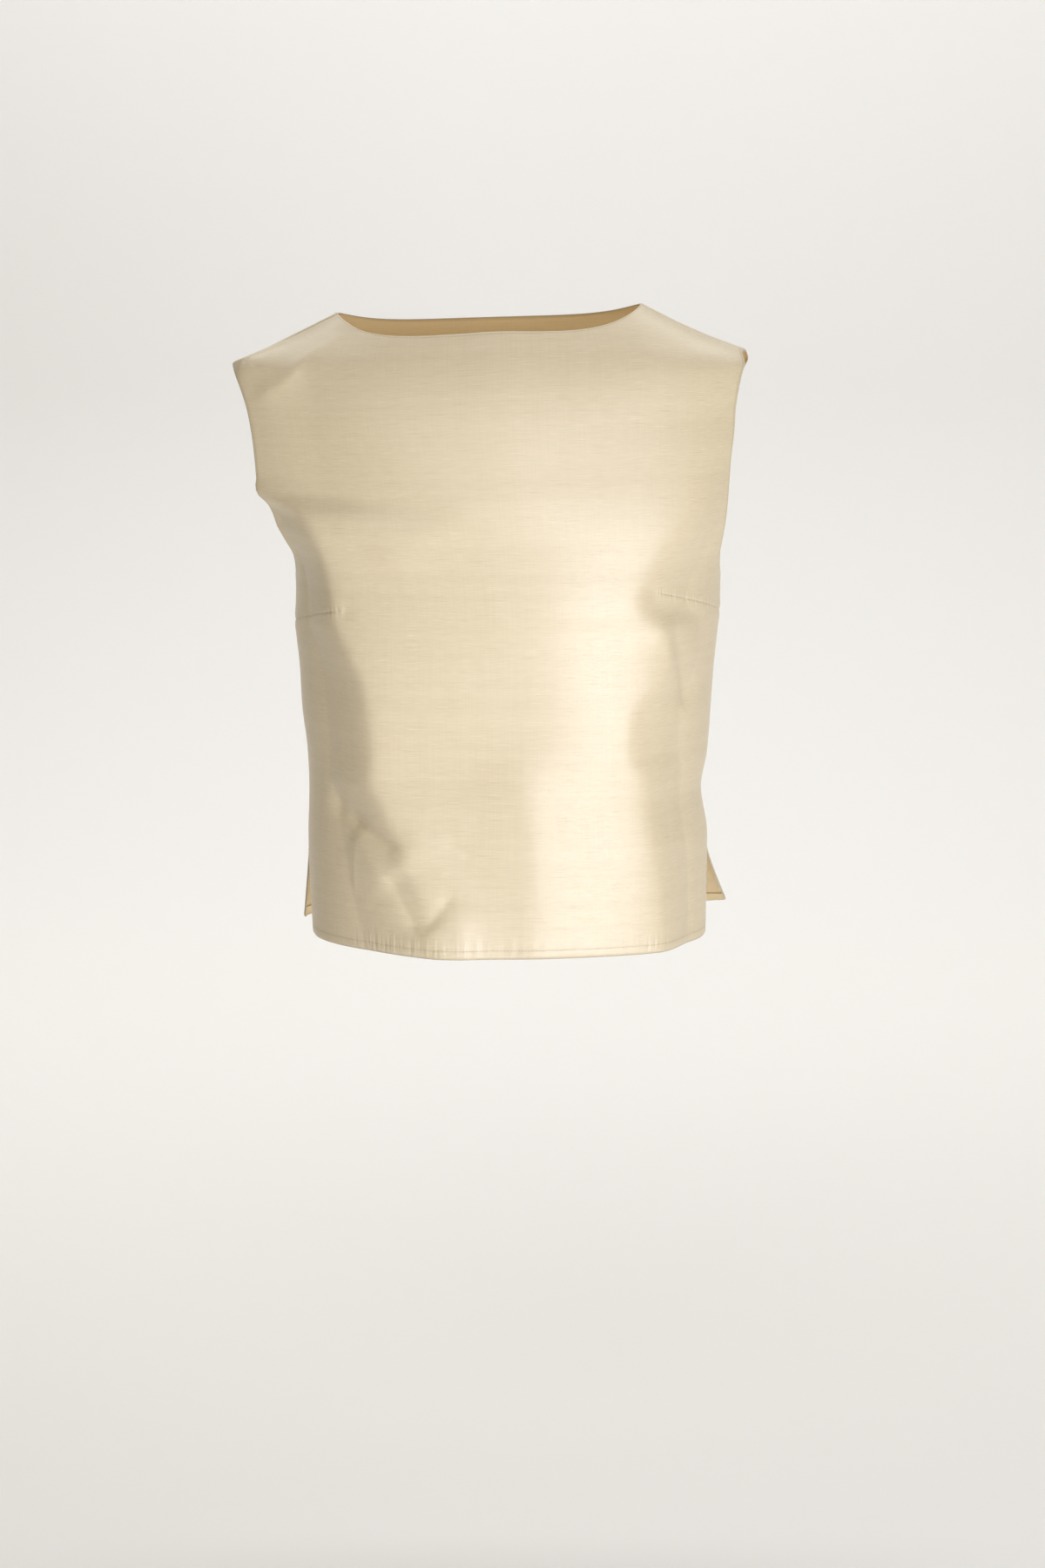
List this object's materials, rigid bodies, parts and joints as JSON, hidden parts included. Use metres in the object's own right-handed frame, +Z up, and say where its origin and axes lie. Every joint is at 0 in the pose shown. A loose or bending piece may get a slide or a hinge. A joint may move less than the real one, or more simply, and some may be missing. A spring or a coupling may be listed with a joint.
{
  "type": "sleeveless silk top",
  "caption": "Sleeveless boxy pull-over top in slubbed silk with a wide boat neck, bust darts, open side slits and a narrow turned hem, standing open as worn.",
  "frame": {"origin": "midway between the two neck points, on top of the shoulders, where the wearer's shoulders hold the top up", "axes": "+Z up, the front faces -Y, +X is the wearer's left"},
  "size_m": [0.3902, 0.228, 0.4785],
  "materials": {
    "silk": "slubbed dupioni silk, lustrous",
    "silk_inside": "reverse of the dupioni silk"
  },
  "bodies": {
    "root": {"front_panel": "silk", "back_panel": "silk", "front_hem_turning": "silk_inside", "back_hem_turning": "silk_inside", "front_slit_turning_left": "silk_inside", "front_slit_turning_right": "silk_inside", "back_slit_turning_left": "silk_inside", "back_slit_turning_right": "silk_inside"}
  },
  "joints": []
}
